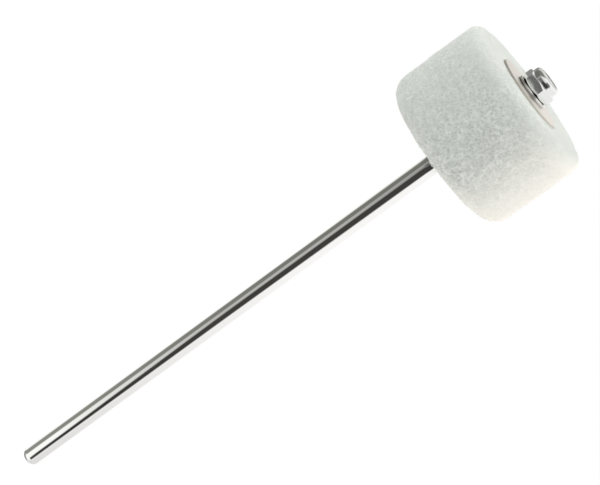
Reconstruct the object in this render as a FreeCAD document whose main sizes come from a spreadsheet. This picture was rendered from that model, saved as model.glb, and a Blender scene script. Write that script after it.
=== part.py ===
"""Felt bass drum beater: a plated rod that carries a thick felt puck between two large washers.

The puck is clamped against a thin nut by a split washer and a nylon-insert lock nut.
Millimetres. +Z runs up the rod, and the origin is the centre of the rod's free lower end.
"""

import FreeCAD, Part
import Sketcher
import os

OUT_FOLDER = "parts"

# Every driving dimension, in millimetres or degrees. Each becomes an aliased cell of the sheet.
SIZES = {
    # rod: plain shank below, threaded stud above
    "rod_diameter": 6.35,
    "shank_length": 173.5,
    "tip_round": 2.4,
    "thread_depth": 0.75,
    "thread_runout": 0.8,
    "stud_chamfer": 0.7,
    "stud_below_lip": 0.6,
    # felt puck
    "felt_diameter": 56.0,
    "felt_height": 35.5,
    "felt_top_round": 4.2,
    "felt_bottom_round": 6.4,
    "felt_top_dish": 0.7,
    "felt_bottom_dish": 1.2,
    "flat_rim_width": 1.0,
    "felt_mouth_bevel": 0.3,
    "felt_bore_clearance": 0.1,
    # large washers, one bedded into each dished face of the felt
    "washer_diameter": 26.4,
    "washer_thickness": 1.5,
    "upper_washer_stand": 0.7,
    "lower_washer_stand": 0.4,
    "washer_edge_bevel": 0.3,
    "washer_bore_clearance": 0.2,
    "washer_seat_clearance": 0.15,
    # split spring washer under the lock nut
    "split_washer_diameter": 12.4,
    "split_washer_thickness": 1.1,
    "split_washer_bore_clearance": 0.15,
    "split_gap": 0.9,
    "split_lean": 0.4,
    # hexagon nuts
    "nut_across_flats": 11.1,
    "nut_clocking": 45.0,
    "nut_face_diameter": 10.4,
    "nut_chamfer_angle": 30.0,
    "nut_bore_clearance": 0.04,
    "bore_chamfer": 0.5,
    "jam_nut_height": 3.2,
    "lock_hex_height": 3.8,
    # collar of the lock nut and the ring held in it
    "shoulder_angle": 30.0,
    "collar_height": 2.4,
    "collar_wall": 1.0,
    "collar_round": 1.6,
    "lip_thickness": 0.5,
    "lip_overhang": 0.65,
    "insert_wall": 1.4,
    "insert_height": 1.9,
    "insert_seat_clearance": 0.02,
}

# Heights up the rod and radii that several pieces share, worked out from the driving sizes.
SHANK_RADIUS = "(Sizes.rod_diameter / 2)"
THREAD_RADIUS = "((Sizes.rod_diameter - Sizes.thread_depth) / 2)"
NUT_BORE = f"({THREAD_RADIUS} + Sizes.nut_bore_clearance)"
HEX_CORNER = "(Sizes.nut_across_flats / sqrt(3))"
NUT_FACE_RADIUS = "(Sizes.nut_face_diameter / 2)"
FELT_FOOT = "Sizes.shank_length"
FELT_TOP = "(Sizes.shank_length + Sizes.felt_height)"
FELT_LOWER_RIM = f"({FELT_FOOT} + Sizes.felt_bottom_dish)"
FELT_UPPER_RIM = f"({FELT_TOP} - Sizes.felt_top_dish)"
JAM_TOP = f"({FELT_LOWER_RIM} - Sizes.lower_washer_stand)"
JAM_FOOT = f"({JAM_TOP} - Sizes.jam_nut_height)"
THREAD_FOOT = f"({JAM_FOOT} - Sizes.thread_runout)"
SPLIT_FOOT = f"({FELT_UPPER_RIM} + Sizes.upper_washer_stand)"
LOCK_FOOT = f"({SPLIT_FOOT} + Sizes.split_washer_thickness)"
LOCK_SHOULDER = f"({LOCK_FOOT} + Sizes.lock_hex_height)"
LOCK_TOP = f"({LOCK_SHOULDER} + Sizes.collar_height)"
LIP_FOOT = f"({LOCK_TOP} - Sizes.lip_thickness)"
INSERT_FOOT = f"({LIP_FOOT} - Sizes.insert_height)"
STUD_TOP = f"({LOCK_TOP} - Sizes.stud_below_lip)"
SEAT_RADIUS = f"({NUT_BORE} + Sizes.insert_wall)"
LIP_RADIUS = f"({SEAT_RADIUS} - Sizes.lip_overhang)"
COLLAR_RADIUS = f"({SEAT_RADIUS} + Sizes.collar_wall)"

Z_DIRECTION = FreeCAD.Vector(0, 0, 1)
TOLERANCE = 1e-4

# Straight steps in each rounded edge of the felt and in the collar's rolled rim.
EDGE_STEPS = 4

doc = FreeCAD.newDocument("felt_beater")


def make_sheet():
    """Puts each driving size in its own aliased cell."""
    sheet = doc.addObject("Spreadsheet::Sheet", "Sizes")
    for row, (name, value) in enumerate(SIZES.items(), start=1):
        sheet.set(f"A{row}", name)
        sheet.set(f"B{row}", str(value))
        sheet.setAlias(f"B{row}", name)
    doc.recompute()


def worked_out(expression):
    """The present value of an expression on the sheet, as a plain number."""
    value = doc.getObject("Sizes").evalExpression(expression)
    return float(getattr(value, "Value", value))


def new_body(label):
    body = doc.addObject("PartDesign::Body", label)
    body.Label = label
    return body


def new_sketch(body, name, role="XY_Plane", height=None):
    """A sketch on one of the body's own origin planes, lifted to a height up the rod if one is given."""
    sketch = body.newObject("Sketcher::SketchObject", name)
    plane = next(f for f in body.Origin.OriginFeatures if f.Role == role)
    sketch.AttachmentSupport = [(plane, "")]
    sketch.MapMode = "FlatFace"
    if height is not None:
        sketch.setExpression("AttachmentOffset.Base.z", height)
    return sketch


def bind(sketch, kind, *where, name, expression):
    """Adds a dimension to a sketch and ties it to an expression."""
    index = sketch.addConstraint(Sketcher.Constraint(kind, *where, worked_out(expression)))
    sketch.renameConstraint(index, name)
    sketch.setExpression(f"Constraints.{name}", expression)


def draw_circle(sketch, name, radius):
    """A circle about the rod's axis."""
    edge = sketch.addGeometry(Part.Circle(FreeCAD.Vector(), Z_DIRECTION, worked_out(radius)))
    sketch.addConstraint(Sketcher.Constraint("Coincident", edge, 3, -1, 1))
    bind(sketch, "Radius", edge, name=name, expression=radius)


def draw_hexagon(sketch):
    """A regular hexagon about the rod's axis, one corner at the clocking angle from +X."""
    corner = worked_out(HEX_CORNER)
    clocking = worked_out("Sizes.nut_clocking")
    spots = []
    for step in range(6):
        turn = FreeCAD.Rotation(Z_DIRECTION, clocking + 60 * step)
        spots.append(turn.multVec(FreeCAD.Vector(corner, 0, 0)))
    sides = [sketch.addGeometry(Part.LineSegment(spots[k], spots[(k + 1) % 6])) for k in range(6)]
    ring = sketch.addGeometry(Part.Circle(FreeCAD.Vector(), Z_DIRECTION, corner), True)
    spoke = sketch.addGeometry(Part.LineSegment(FreeCAD.Vector(), spots[0]), True)
    sketch.addConstraint(Sketcher.Constraint("Coincident", ring, 3, -1, 1))
    sketch.addConstraint(Sketcher.Constraint("Coincident", spoke, 1, -1, 1))
    sketch.addConstraint(Sketcher.Constraint("Coincident", spoke, 2, sides[0], 1))
    for k in range(6):
        sketch.addConstraint(Sketcher.Constraint("Coincident", sides[k], 2, sides[(k + 1) % 6], 1))
        sketch.addConstraint(Sketcher.Constraint("PointOnObject", sides[k], 1, ring))
    for k in range(1, 6):
        sketch.addConstraint(Sketcher.Constraint("Equal", sides[0], sides[k]))
    bind(sketch, "Radius", ring, name="corner", expression=HEX_CORNER)
    index = sketch.addConstraint(
        Sketcher.Constraint("Angle", -1, 1, spoke, 1, FreeCAD.Units.Quantity(f"{clocking} deg"))
    )
    sketch.renameConstraint(index, "clocking")
    sketch.setExpression("Constraints.clocking", "Sizes.nut_clocking * 1 deg")


def draw_outline(sketch, points):
    """A closed outline of straight lines through (across, up) pairs of expressions."""
    spots = [FreeCAD.Vector(worked_out(across), worked_out(up), 0) for across, up in points]
    count = len(spots)
    lines = [sketch.addGeometry(Part.LineSegment(spots[k], spots[(k + 1) % count])) for k in range(count)]
    for k in range(count):
        sketch.addConstraint(Sketcher.Constraint("Coincident", lines[k], 2, lines[(k + 1) % count], 1))
    for k, (across, up) in enumerate(points):
        if across == "0":
            sketch.addConstraint(Sketcher.Constraint("PointOnObject", lines[k], 1, -2))
        else:
            bind(sketch, "DistanceX", -1, 1, lines[k], 1, name=f"across_{k}", expression=across)
        bind(sketch, "DistanceY", -1, 1, lines[k], 1, name=f"up_{k}", expression=up)


def pad(body, sketch, name, length):
    feature = body.newObject("PartDesign::Pad", name)
    feature.Profile = sketch
    feature.setExpression("Length", length)
    doc.recompute()
    return feature


def turn(body, kind, name, points):
    """Revolves a half section about the rod's axis, as added or removed material."""
    sketch = new_sketch(body, f"{name}_section", "XZ_Plane")
    draw_outline(sketch, points)
    feature = body.newObject(f"PartDesign::{kind}", name)
    feature.Profile = sketch
    feature.ReferenceAxis = (sketch, ["V_Axis"])
    feature.Angle = 360
    doc.recompute()
    return feature


def circles_at(feature, *spots):
    """Names of a feature's round edges that lie at the given (radius, height) pairs of expressions."""
    wanted = [(worked_out(radius), worked_out(height)) for radius, height in spots]
    names = []
    for number, edge in enumerate(feature.Shape.Edges, start=1):
        if not isinstance(edge.Curve, Part.Circle):
            continue
        found = (edge.Curve.Radius, edge.Curve.Center.z)
        if any(abs(found[0] - r) < TOLERANCE and abs(found[1] - z) < TOLERANCE for r, z in wanted):
            names.append(f"Edge{number}")
    return names


def ease(body, base, kind, name, amount, *spots):
    """Fillets or chamfers the round edges of base at the given radii and heights."""
    feature = body.newObject(f"PartDesign::{kind}", name)
    feature.Base = (base, circles_at(base, *spots))
    feature.setExpression("Radius" if kind == "Fillet" else "Size", amount)
    doc.recompute()
    return feature


def make_rod():
    """Plain shank with a rounded tip, and above it the threaded stud at the thread's mean diameter."""
    body = new_body("beater_rod")
    bar = turn(
        body,
        "Revolution",
        "bar",
        [
            ("0", "0"),
            (SHANK_RADIUS, "0"),
            (SHANK_RADIUS, THREAD_FOOT),
            (THREAD_RADIUS, f"{THREAD_FOOT} + Sizes.thread_runout / 2"),
            (THREAD_RADIUS, STUD_TOP),
            ("0", STUD_TOP),
        ],
    )
    rounded = ease(body, bar, "Fillet", "tip", "Sizes.tip_round", (SHANK_RADIUS, "0"))
    ease(body, rounded, "Chamfer", "stud_end", "Sizes.stud_chamfer", (THREAD_RADIUS, STUD_TOP))
    return body


def quarter_round(outer, centre_height, size, first_angle):
    """Points on a quarter circle inside the outer radius, from first_angle on, in equal steps."""
    angles = [first_angle + 90 * step / EDGE_STEPS for step in range(EDGE_STEPS + 1)]
    return [
        (f"{outer} - {size} * (1 - cos({angle} * 1 deg))", f"{centre_height} + {size} * sin({angle} * 1 deg)")
        for angle in angles
    ]


def make_felt():
    """Round puck with a bore for the stud, each face dished where the clamped washer beds into it."""
    body = new_body("felt_head")
    bore = f"{SHANK_RADIUS} + Sizes.felt_bore_clearance"
    seat = "Sizes.washer_diameter / 2 + Sizes.washer_seat_clearance"
    outer = "Sizes.felt_diameter / 2"
    bottom_round = "Sizes.felt_bottom_round"
    top_round = "Sizes.felt_top_round"
    lower_floor = f"{JAM_TOP} + Sizes.washer_thickness"
    upper_floor = f"{SPLIT_FOOT} - Sizes.washer_thickness"
    puck = turn(
        body,
        "Revolution",
        "puck",
        [
            (bore, lower_floor),
            (seat, lower_floor),
            (seat, FELT_LOWER_RIM),
            (f"{outer} - {bottom_round} - Sizes.flat_rim_width", FELT_FOOT),
            *quarter_round(outer, f"{FELT_FOOT} + {bottom_round}", bottom_round, -90),
            *quarter_round(outer, f"{FELT_TOP} - {top_round}", top_round, 0),
            (f"{outer} - {top_round} - Sizes.flat_rim_width", FELT_TOP),
            (seat, FELT_UPPER_RIM),
            (seat, upper_floor),
            (bore, upper_floor),
        ],
    )
    mouths = [(seat, FELT_LOWER_RIM), (seat, FELT_UPPER_RIM)]
    ease(body, puck, "Chamfer", "washer_mouths", "Sizes.felt_mouth_bevel", *mouths)
    return body


def make_large_washer(label, foot, shown_face):
    """Flat washer with the edge of its shown face bevelled."""
    body = new_body(label)
    rim = "Sizes.washer_diameter / 2"
    section = new_sketch(body, f"{label}_face", height=foot)
    draw_circle(section, "rim", rim)
    draw_circle(section, "bore", f"{SHANK_RADIUS} + Sizes.washer_bore_clearance")
    disc = pad(body, section, f"{label}_disc", "Sizes.washer_thickness")
    ease(body, disc, "Chamfer", f"{label}_edge", "Sizes.washer_edge_bevel", (rim, shown_face))
    return body


def make_split_washer():
    """Spring washer pressed flat, parted by a leaning saw cut on its +Y side."""
    body = new_body("split_washer")
    face = new_sketch(body, "split_washer_face", height=SPLIT_FOOT)
    draw_circle(face, "rim", "Sizes.split_washer_diameter / 2")
    draw_circle(face, "bore", f"{SHANK_RADIUS} + Sizes.split_washer_bore_clearance")
    pad(body, face, "split_washer_ring", "Sizes.split_washer_thickness")
    cut = new_sketch(body, "saw_cut_outline", "XZ_Plane")
    draw_outline(
        cut,
        [
            ("Sizes.split_lean", SPLIT_FOOT),
            ("Sizes.split_lean + Sizes.split_gap", SPLIT_FOOT),
            ("Sizes.split_gap", LOCK_FOOT),
            ("0", LOCK_FOOT),
        ],
    )
    slot = body.newObject("PartDesign::Pocket", "saw_cut")
    slot.Profile = cut
    slot.setExpression("Length", "Sizes.split_washer_diameter")
    doc.recompute()
    return body


def cone_section(face_radius, end, direction, angle):
    """Section of the turned cone that takes a hexagon's corners off from one end face inwards."""
    beyond = f"({HEX_CORNER} * 1.5)"
    depth = f"(({beyond} - {face_radius}) * tan({angle} * 1 deg))"
    return [(face_radius, end), (beyond, end), (beyond, f"{end} {direction} {depth}")]


def make_hexagon(body, foot, height, upper_face_radius, upper_angle):
    """Hexagon bar cut to length, with its corners turned off at both ends."""
    section = new_sketch(body, f"{body.Label}_hexagon", height=foot)
    draw_hexagon(section)
    pad(body, section, f"{body.Label}_bar", height)
    lower = cone_section(NUT_FACE_RADIUS, foot, "+", "Sizes.nut_chamfer_angle")
    upper = cone_section(upper_face_radius, f"({foot} + {height})", "-", upper_angle)
    turn(body, "Groove", f"{body.Label}_lower_chamfer", lower)
    turn(body, "Groove", f"{body.Label}_upper_chamfer", upper)


def make_jam_nut():
    """Thin nut below the felt, run down to the end of the thread."""
    body = new_body("jam_nut")
    make_hexagon(body, JAM_FOOT, "Sizes.jam_nut_height", NUT_FACE_RADIUS, "Sizes.nut_chamfer_angle")
    mouth = f"{NUT_BORE} + Sizes.bore_chamfer"
    turn(
        body,
        "Groove",
        "jam_nut_bore",
        [
            ("0", JAM_FOOT),
            (mouth, JAM_FOOT),
            (NUT_BORE, f"{JAM_FOOT} + Sizes.bore_chamfer"),
            (NUT_BORE, f"{JAM_TOP} - Sizes.bore_chamfer"),
            (mouth, JAM_TOP),
            ("0", JAM_TOP),
        ],
    )
    return body


def make_lock_nut():
    """Hexagon with a turned collar whose rim is rolled in over the nylon ring."""
    body = new_body("lock_nut")
    make_hexagon(body, LOCK_FOOT, "Sizes.lock_hex_height", COLLAR_RADIUS, "Sizes.shoulder_angle")
    rim_round = "Sizes.collar_round"
    turn(
        body,
        "Revolution",
        "collar",
        [
            ("0", LOCK_FOOT),
            (COLLAR_RADIUS, LOCK_FOOT),
            *quarter_round(COLLAR_RADIUS, f"{LOCK_TOP} - {rim_round}", rim_round, 0),
            ("0", LOCK_TOP),
        ],
    )
    turn(
        body,
        "Groove",
        "lock_nut_bore",
        [
            ("0", LOCK_FOOT),
            (f"{NUT_BORE} + Sizes.bore_chamfer", LOCK_FOOT),
            (NUT_BORE, f"{LOCK_FOOT} + Sizes.bore_chamfer"),
            (NUT_BORE, INSERT_FOOT),
            (SEAT_RADIUS, INSERT_FOOT),
            (SEAT_RADIUS, LIP_FOOT),
            (LIP_RADIUS, LIP_FOOT),
            (LIP_RADIUS, LOCK_TOP),
            ("0", LOCK_TOP),
        ],
    )
    return body


def make_nylon_ring():
    """Ring that grips the stud, trapped between the nut's thread and its rolled rim."""
    body = new_body("nylon_insert")
    face = new_sketch(body, "nylon_face", height=INSERT_FOOT)
    draw_circle(face, "rim", f"{SEAT_RADIUS} - Sizes.insert_seat_clearance")
    draw_circle(face, "bore", NUT_BORE)
    pad(body, face, "nylon_ring", "Sizes.insert_height")
    return body


def check_document(bodies):
    """Stops the build if a feature failed or a piece has no sound solid."""
    for item in doc.Objects:
        if {"Invalid", "Error"} & set(item.State):
            raise RuntimeError(f"{item.Label} failed: {item.State}")
    for body in bodies:
        shape = body.Shape
        if shape.isNull() or not shape.isValid() or len(shape.Solids) != 1:
            raise RuntimeError(f"{body.Label} isn't one sound solid")


make_sheet()
pieces = [
    make_rod(),
    make_jam_nut(),
    make_large_washer("lower_washer", JAM_TOP, JAM_TOP),
    make_felt(),
    make_large_washer("upper_washer", f"{SPLIT_FOOT} - Sizes.washer_thickness", SPLIT_FOOT),
    make_split_washer(),
    make_lock_nut(),
    make_nylon_ring(),
]
doc.recompute()
check_document(pieces)

os.makedirs(OUT_FOLDER, exist_ok=True)
for piece in pieces:
    piece.Shape.exportStep(os.path.join(OUT_FOLDER, f"{piece.Label}.step"))
    print(f"{piece.Label}: {piece.Shape.Volume:.1f} mm3")
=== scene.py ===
"""Looks of a felt bass drum beater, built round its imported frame.

The scene is in metres and the shape functions are in millimetres.
+Z runs up the rod from its free end, and the photo looks along +Y.
"""

import math

import bpy
import numpy as np
from mathutils import Matrix, Vector


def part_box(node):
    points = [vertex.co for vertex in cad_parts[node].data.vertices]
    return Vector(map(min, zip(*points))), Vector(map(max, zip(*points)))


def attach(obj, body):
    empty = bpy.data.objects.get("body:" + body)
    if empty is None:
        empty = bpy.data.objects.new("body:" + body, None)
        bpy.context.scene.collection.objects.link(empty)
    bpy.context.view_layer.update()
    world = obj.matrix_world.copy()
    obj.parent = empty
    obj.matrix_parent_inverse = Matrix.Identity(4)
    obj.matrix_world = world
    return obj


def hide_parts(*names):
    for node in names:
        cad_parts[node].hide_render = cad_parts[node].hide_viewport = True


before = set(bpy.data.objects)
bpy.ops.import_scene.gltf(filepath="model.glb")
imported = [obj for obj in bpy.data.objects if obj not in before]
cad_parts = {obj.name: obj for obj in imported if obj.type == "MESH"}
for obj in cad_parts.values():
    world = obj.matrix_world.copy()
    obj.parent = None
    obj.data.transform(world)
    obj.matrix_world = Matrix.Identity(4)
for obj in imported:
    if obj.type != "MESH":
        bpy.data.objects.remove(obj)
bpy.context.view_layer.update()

MM = 0.001
TAU = 2 * math.pi


def span(cad_node):
    """Lowest and highest point of a CAD node up the rod, in millimetres."""
    low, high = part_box(cad_node)
    return low.z / MM, high.z / MM


# Rod and its right-hand screw thread
ROD_RADIUS = 3.175
TIP_ROUND = 2.4
THREAD_RUNOUT = 0.8
STUD_BEVEL = 0.7
THREAD_PITCH = 1.27
CREST_RADIUS = 3.13
ROOT_RADIUS = 2.43
FLANK_SLOPE = 1.57
THREAD_CLEARANCE = 0.03

# Felt puck
FELT_RADIUS = 28.0
FELT_TOP_ROUND = 4.2
FELT_BOTTOM_ROUND = 6.4
FELT_TOP_DISH = 0.7
FELT_BOTTOM_DISH = 1.2
FELT_BORE = 3.275
FLAT_RIM = 1.0
DISH_BLEND = 6.0
SEAT_EDGE_ROUND = 0.1
UPPER_SEAT_LIP = 0.25
LOWER_SEAT_LIP = 0.4

# Wool fields: wavelength, number of waves and seed of each, spread of their wavelengths, and heights
LUMP_WAVES = (9.0, 40, 11)
CLUMP_WAVES = (2.4, 48, 12)
CREASE_WAVES = (1.35, 64, 13)
WAVELENGTH_SPREAD = (0.75, 1.35)
LUMP_HEIGHT = 0.045
CLUMP_HEIGHT = 0.02
CREASE_DEPTH = 0.13
CREASE_GAIN = 2.3

# Where the wool lies flat: bands outwards from the washers' seats and down from the pressed top
SEAT_FADE_START = 0.3
SEAT_FADE_END = 5
PRESSED_FOOT = 8.5
PRESSED_HEAD = 3.5
PRESSED_CALM = 0.5

# How far the nap stands up, which also sets how far the felt's painted shade and its own tone lie apart:
# its mean, its lean to the left, and a patch near the front
NAP_AND_SHADE_MEAN = 0.47
NAP_AND_SHADE_LEAN = 0.26
NAP_AND_SHADE_PATCH = 0.65
PATCH_TURN = math.radians(-86)
PATCH_SHARPNESS = 18

# Washers
WASHER_RADIUS = 13.2
WASHER_BORE = 3.375
WASHER_SEAT = 13.35
WASHER_RIM_EDGE = 0.14
WASHER_BORE_EDGE = 0.12
SPLIT_RADIUS = 6.2
SPLIT_BORE = 3.325
SPLIT_GAP = 0.9
SPLIT_LEAN = 0.4
SPLIT_BORE_EDGE = 0.12
SPLIT_LOWER_EDGE = 0.2
SPLIT_UPPER_EDGE = 0.45

# Nuts
APOTHEM = 5.55
FACET_TURN = math.radians(15)
NUT_FACE_RADIUS = 5.2
NUT_CHAMFER = math.radians(30)
SHOULDER = math.radians(30)
CORNER_EASE = 70
EDGE_EASE = 110
BORE_MOUTH = 3.4
COLLAR_RADIUS = 5.24
COLLAR_HEIGHT = 2.4
COLLAR_START = 0.3
COLLAR_ROUND = 1.5
SEAT_RADIUS = 4.24
SEAT_CORNER_ROUND = 0.05
LIP_RADIUS = 3.59
LIP_THICKNESS = 0.5
LIP_EDGE_ROUND = 0.14
FLANK_JOIN_ROUND = 0.01
BORE_JOIN = 0.02

# Nylon ring in the lock nut, with its thread set in from its ends
NYLON_FIT = 0.02
NYLON_EDGE_ROUND = 0.1
NYLON_MOUTH_ROUND = 0.25
NYLON_THREAD_LIFT = 0.12
NYLON_THREAD_DROP = 0.3

# Painted shade round the rod: its mean and its lean to the left, away from the key lamp; then each edge's
# share and the distances where it fades: the washers' darker cut rims with painted shade, and painted
# shade at the split ring's foot and round the lock nut's mouth
LEFT_SHADE_MEAN = 0.6
LEFT_SHADE_LEAN = 0.4
RIM_GRIME_AND_SHADE = 0.36
RIM_GRIME_AND_SHADE_START = 0.16
RIM_GRIME_AND_SHADE_FULL = 0.06
SPLIT_SHADE = 0.9
SPLIT_SHADE_FULL = 0.15
SPLIT_SHADE_END = 0.5
LIP_SHADE = 0.4
LIP_SHADE_START = 0.3
LIP_SHADE_FULL = 0.05

# Painted shade on the chamfer at the lock nut's foot: shares of the chamfer's height between which it
# fades, and a least fade
CHAMFER_SHADE_FULL = 0.85
CHAMFER_SHADE_END = 1.1
CHAMFER_SHADE_FADE = 0.02

# Fineness of the meshes: points on an arc, rows and columns of points
NYLON_ARC_POINTS = 6
WASHER_ARC_POINTS = 8
COLLAR_ARC_POINTS = 9
SPLIT_ARC_POINTS = 10
FELT_ARC_POINTS = 16
TIP_ROWS = 12
SHANK_ROWS = 60
ROWS_PER_PITCH = 10
ROD_COLUMNS = 72
FELT_ROWS = 216
FELT_COLUMNS = 450
HIDDEN_FINENESS = 0.15
HIDDEN_MARGIN = 0.02
WASHER_COLUMNS = 256
RING_COLUMNS = 160
NUT_COLUMNS = 240
CORNER_CROWDING = 0.13
FLANK_ROWS = 44
BORE_ROWS_PER_MM = 12
SHARP_ANGLE = math.radians(38)


# Grids and profiles


def even_angles(count):
    """So many angles, evenly round a full turn."""
    return np.arange(count) * (TAU / count)


def rounded(corners, radii, steps):
    """Profile through (radius, height) corners, each rounded by an arc of its own radius.

    The arc at a corner c is the conic
    ((1-s)^2 a + 2 w s (1-s) c + s^2 b) / ((1-s)^2 + 2 w s (1-s) + s^2),
    with a and b on the two sides and w the sine of half the corner's angle,
    which makes it a true circle.
    """
    c = np.array(corners, float)
    radii = np.array(radii, float)[:, None]
    back = np.roll(c, 1, axis=0) - c
    ahead = np.roll(c, -1, axis=0) - c
    back /= np.linalg.norm(back, axis=1, keepdims=True)
    ahead /= np.linalg.norm(ahead, axis=1, keepdims=True)
    half = np.arccos(np.clip((back * ahead).sum(axis=1, keepdims=True), -1, 1)) / 2
    reach = radii / np.tan(half)
    s = np.linspace(0, 1, steps)[None, :, None]
    first = (1 - s) ** 2
    middle = 2 * s * (1 - s) * np.sin(half)[:, :, None]
    last = s ** 2
    a = (c + back * reach)[:, None]
    b = (c + ahead * reach)[:, None]
    arcs = (first * a + middle * c[:, None] + last * b) / (first + middle + last)
    return arcs.reshape(-1, 2)


def spread(profile, fineness, count):
    """Points set along a closed profile by its length, closer together where fineness is higher."""
    ring = np.vstack([profile, profile[:1]])
    weight = np.append(fineness, fineness[0])
    lengths = np.linalg.norm(np.diff(ring, axis=0), axis=1) * (weight[1:] + weight[:-1]) / 2
    along = np.append(0, np.cumsum(lengths))
    wanted = np.linspace(0, along[-1], count, endpoint=False)
    radius = np.interp(wanted, along, ring[:, 0])
    height = np.interp(wanted, along, ring[:, 1])
    return np.stack([radius, height], axis=1)


def swung(radius, height, angle):
    """Points (r cos a, r sin a, z) of a surface about the rod's axis, from arrays that fit together."""
    radius, height, angle = np.broadcast_arrays(radius, height, angle)
    return np.stack([radius * np.cos(angle), radius * np.sin(angle), height], axis=-1)


def outward(faces, points):
    """The faces, turned over if their signed volume says that they point inwards."""
    corner = points[faces]
    fan = np.cross(corner[:, 1], corner[:, 2]) + np.cross(corner[:, 2], corner[:, 3])
    if (corner[:, 0] * fan).sum() < 0:
        return faces[:, ::-1]
    return faces


def grid_quads(grid, rows_meet, columns_meet):
    """Numbers of a grid's points, and its quads, which go round where rows or columns meet."""
    rows, columns = grid.shape[:2]
    number = np.arange(rows * columns).reshape(rows, columns)
    wide = np.append(number, number[:, :1], axis=1) if columns_meet else number
    both = np.append(wide, wide[:1], axis=0) if rows_meet else wide
    quads = np.stack([both[:-1, :-1], both[:-1, 1:], both[1:, 1:], both[1:, :-1]], axis=-1)
    return number, quads.reshape(-1, 4)


def skin(name, grid, rows_meet=True, columns_meet=True):
    """Mesh of quads over a grid of points in millimetres.

    Rows or columns whose ends meet are joined there,
    and the open ends of the others are closed with flat caps.
    """
    number, quads = grid_quads(grid, rows_meet, columns_meet)
    points = grid.reshape(-1, 3)
    turned = outward(quads, points)
    flipped = turned is not quads
    caps = []
    if not rows_meet:
        caps = [number[0, ::-1], number[-1]]
    elif not columns_meet:
        caps = [number[:, 0], number[::-1, -1]]
    if flipped:
        caps = [cap[::-1] for cap in caps]
    counts = np.array([4] * len(turned) + [len(cap) for cap in caps])
    mesh = bpy.data.meshes.new(name)
    mesh.vertices.add(len(points))
    mesh.vertices.foreach_set("co", (points * MM).astype(np.float32).ravel())
    mesh.loops.add(int(counts.sum()))
    mesh.loops.foreach_set("vertex_index", np.concatenate([turned.ravel(), *caps]).astype(np.int32))
    mesh.polygons.add(len(counts))
    mesh.polygons.foreach_set("loop_start", (np.cumsum(counts) - counts).astype(np.int32))
    mesh.polygons.foreach_set("use_smooth", np.ones(len(counts), bool))
    mesh.update(calc_edges=True)
    mesh.set_sharp_from_angle(angle=SHARP_ANGLE)
    return mesh


def waves(points, wavelength, count, seed):
    """Lumpy field about 0 with unit spread: sqrt(2 / n) times the sum of n cosine waves.

    Their directions and phases are seeded, and their lengths lie round one wavelength.
    """
    draw = np.random.default_rng(seed)
    heading = draw.normal(size=(count, 3))
    heading /= np.linalg.norm(heading, axis=1, keepdims=True)
    lengths = wavelength * draw.uniform(*WAVELENGTH_SPREAD, count)
    phases = draw.uniform(0, TAU, count)
    field = np.cos(points @ (heading * (TAU / lengths)[:, None]).T + phases)
    return field.sum(axis=-1) * math.sqrt(2 / count)


def step_between(value, low, high):
    """0 below low, 1 above high, and 3t^2 - 2t^3 between them."""
    t = np.clip((value - low) / (high - low), 0, 1)
    return t * t * (3 - 2 * t)


# Shapes of the pieces


def thread_radius(angle, height):
    """Radius of the screw thread.

    It is a wedge wave of (height / pitch - angle / turn), cut flat at crest and root.
    """
    place = height / THREAD_PITCH - angle / TAU
    wave = np.abs(2 * (place - np.floor(place)) - 1)
    flank = np.clip(0.5 + FLANK_SLOPE * (wave - 0.5), 0, 1)
    return ROOT_RADIUS + (CREST_RADIUS - ROOT_RADIUS) * flank


def rod_grid():
    """Bar swung about Z: r(z) round the tip and up the shank, then the thread's r(a, z) to its bevel."""
    foot, top = span("beater_rod")
    thread_foot = span("jam_nut")[0] - THREAD_RUNOUT
    angle = even_angles(ROD_COLUMNS)
    bend = np.linspace(0, math.pi / 2, TIP_ROWS)
    tip_radius = ROD_RADIUS - TIP_ROUND + TIP_ROUND * np.sin(bend)
    tip_height = foot + TIP_ROUND - TIP_ROUND * np.cos(bend)
    shank_height = np.linspace(foot + TIP_ROUND, thread_foot, SHANK_ROWS)[1:]
    stud_height = np.arange(thread_foot, top, THREAD_PITCH / ROWS_PER_PITCH)[1:]
    stud_height = np.append(stud_height, top)
    cut = step_between(stud_height, thread_foot, thread_foot + THREAD_RUNOUT)[:, None]
    stud = ROD_RADIUS + cut * (thread_radius(angle, stud_height[:, None]) - ROD_RADIUS)
    bevel = CREST_RADIUS - STUD_BEVEL + top - stud_height[:, None]
    stud = np.minimum(stud, bevel)
    plain_radius = np.append(tip_radius, np.full(len(shank_height), ROD_RADIUS))
    radius = np.vstack([np.repeat(plain_radius[:, None], len(angle), axis=1), stud])
    height = np.concatenate([tip_height, shank_height, stud_height])
    return swung(radius, height[:, None], angle)


def felt_profile():
    """Half section of the puck, going up its outside, with dished faces that the washers bed into."""
    foot, top = span("felt_head")
    lower_floor = span("lower_washer")[1]
    upper_floor = span("upper_washer")[0]
    corners_and_rounds = [
        (FELT_BORE, lower_floor, SEAT_EDGE_ROUND),
        (WASHER_SEAT, lower_floor, SEAT_EDGE_ROUND),
        (WASHER_SEAT, foot + FELT_BOTTOM_DISH, LOWER_SEAT_LIP),
        (FELT_RADIUS - FELT_BOTTOM_ROUND - FLAT_RIM, foot, DISH_BLEND),
        (FELT_RADIUS, foot, FELT_BOTTOM_ROUND),
        (FELT_RADIUS, top, FELT_TOP_ROUND),
        (FELT_RADIUS - FELT_TOP_ROUND - FLAT_RIM, top, DISH_BLEND),
        (WASHER_SEAT, top - FELT_TOP_DISH, UPPER_SEAT_LIP),
        (WASHER_SEAT, upper_floor, SEAT_EDGE_ROUND),
        (FELT_BORE, upper_floor, SEAT_EDGE_ROUND),
    ]
    corners = [corner[:2] for corner in corners_and_rounds]
    radii = [corner[2] for corner in corners_and_rounds]
    profile = rounded(corners, radii, FELT_ARC_POINTS)
    fineness = np.where(profile[:, 0] > WASHER_SEAT + HIDDEN_MARGIN, 1.0, HIDDEN_FINENESS)
    return spread(profile, fineness, FELT_ROWS)


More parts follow.
